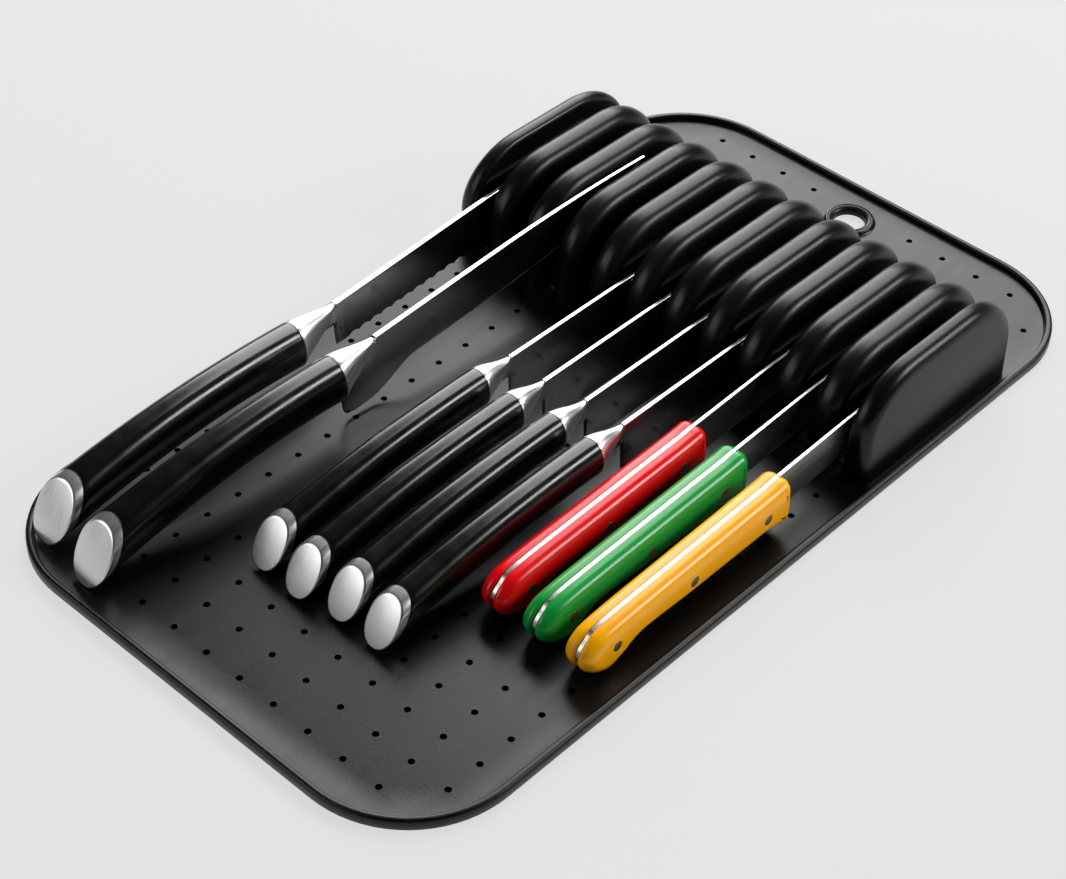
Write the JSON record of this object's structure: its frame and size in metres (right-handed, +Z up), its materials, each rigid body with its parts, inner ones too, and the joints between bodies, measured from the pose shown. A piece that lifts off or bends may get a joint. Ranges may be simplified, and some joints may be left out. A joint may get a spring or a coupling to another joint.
{
  "type": "drawer knife mat with ribbed knife block and knives",
  "caption": "Rubber drawer mat with a ribbed block whose slots hold kitchen and paring knives by their blades, handles lying towards the front.",
  "frame": {"origin": "under the centre of the mat, on the surface that it lies on", "axes": "+Z up; +Y along the mat, from the knife handles towards the ribbed block and the hanging eyelet; +X to the right, seen from the handles"},
  "size_m": [0.2106, 0.3696, 0.043],
  "materials": {
    "rubber": "semi-gloss moulded black rubber",
    "blade_steel": "ground stainless steel",
    "satin_steel": "satin-brushed stainless steel",
    "black_plastic": "polished black acetal",
    "red_plastic": "glossy red moulded plastic",
    "green_plastic": "glossy green moulded plastic",
    "yellow_plastic": "glossy yellow moulded plastic",
    "rivet_metal": "ground rivet heads"
  },
  "bodies": {
    "holder": {"mat": "rubber", "rib_block": "rubber"},
    "bread_knife": {"bread_knife_blade": "blade_steel", "bread_knife_bolster": "satin_steel", "bread_knife_grip": "black_plastic", "bread_knife_end_cap": "satin_steel"},
    "boning_knife": {"boning_knife_blade": "blade_steel", "boning_knife_bolster": "satin_steel", "boning_knife_grip": "black_plastic", "boning_knife_end_cap": "satin_steel"},
    "steak_knife_1": {"steak_knife_1_blade": "blade_steel", "steak_knife_1_bolster": "satin_steel", "steak_knife_1_grip": "black_plastic", "steak_knife_1_end_cap": "satin_steel"},
    "steak_knife_2": {"steak_knife_2_blade": "blade_steel", "steak_knife_2_bolster": "satin_steel", "steak_knife_2_grip": "black_plastic", "steak_knife_2_end_cap": "satin_steel"},
    "steak_knife_3": {"steak_knife_3_blade": "blade_steel", "steak_knife_3_bolster": "satin_steel", "steak_knife_3_grip": "black_plastic", "steak_knife_3_end_cap": "satin_steel"},
    "steak_knife_4": {"steak_knife_4_blade": "blade_steel", "steak_knife_4_bolster": "satin_steel", "steak_knife_4_grip": "black_plastic", "steak_knife_4_end_cap": "satin_steel"},
    "red_paring_knife": {"red_paring_knife_blade": "blade_steel", "red_paring_knife_left_scale": "red_plastic", "red_paring_knife_right_scale": "red_plastic", "red_paring_knife_rivet_1": "rivet_metal", "red_paring_knife_rivet_2": "rivet_metal", "red_paring_knife_rivet_3": "rivet_metal"},
    "green_paring_knife": {"green_paring_knife_blade": "blade_steel", "green_paring_knife_left_scale": "green_plastic", "green_paring_knife_right_scale": "green_plastic", "green_paring_knife_rivet_1": "rivet_metal", "green_paring_knife_rivet_2": "rivet_metal", "green_paring_knife_rivet_3": "rivet_metal"},
    "yellow_paring_knife": {"yellow_paring_knife_blade": "blade_steel", "yellow_paring_knife_left_scale": "yellow_plastic", "yellow_paring_knife_right_scale": "yellow_plastic", "yellow_paring_knife_rivet_1": "rivet_metal", "yellow_paring_knife_rivet_2": "rivet_metal", "yellow_paring_knife_rivet_3": "rivet_metal"}
  },
  "joints": [
    {"name": "bread_knife_draw", "type": "slide", "parent": "holder", "child": "bread_knife", "axis": [0.019, -0.9061, 0.4226], "range_m": [0, 0.105]},
    {"name": "boning_knife_draw", "type": "slide", "parent": "holder", "child": "boning_knife", "axis": [-0.0119, -0.9062, 0.4226], "range_m": [0, 0.09]},
    {"name": "steak_knife_1_draw", "type": "slide", "parent": "holder", "child": "steak_knife_1", "axis": [-0.0142, -0.9062, 0.4226], "range_m": [0, 0.08]},
    {"name": "steak_knife_2_draw", "type": "slide", "parent": "holder", "child": "steak_knife_2", "axis": [-0.0142, -0.9062, 0.4226], "range_m": [0, 0.08]},
    {"name": "steak_knife_3_draw", "type": "slide", "parent": "holder", "child": "steak_knife_3", "axis": [-0.0142, -0.9062, 0.4226], "range_m": [0, 0.08]},
    {"name": "steak_knife_4_draw", "type": "slide", "parent": "holder", "child": "steak_knife_4", "axis": [-0.0142, -0.9062, 0.4226], "range_m": [0, 0.08]},
    {"name": "red_paring_knife_draw", "type": "slide", "parent": "holder", "child": "red_paring_knife", "axis": [0, -0.9063, 0.4226], "range_m": [0, 0.065]},
    {"name": "green_paring_knife_draw", "type": "slide", "parent": "holder", "child": "green_paring_knife", "axis": [0, -0.9063, 0.4226], "range_m": [0, 0.065]},
    {"name": "yellow_paring_knife_draw", "type": "slide", "parent": "holder", "child": "yellow_paring_knife", "axis": [0, -0.9063, 0.4226], "range_m": [0, 0.065]}
  ]
}
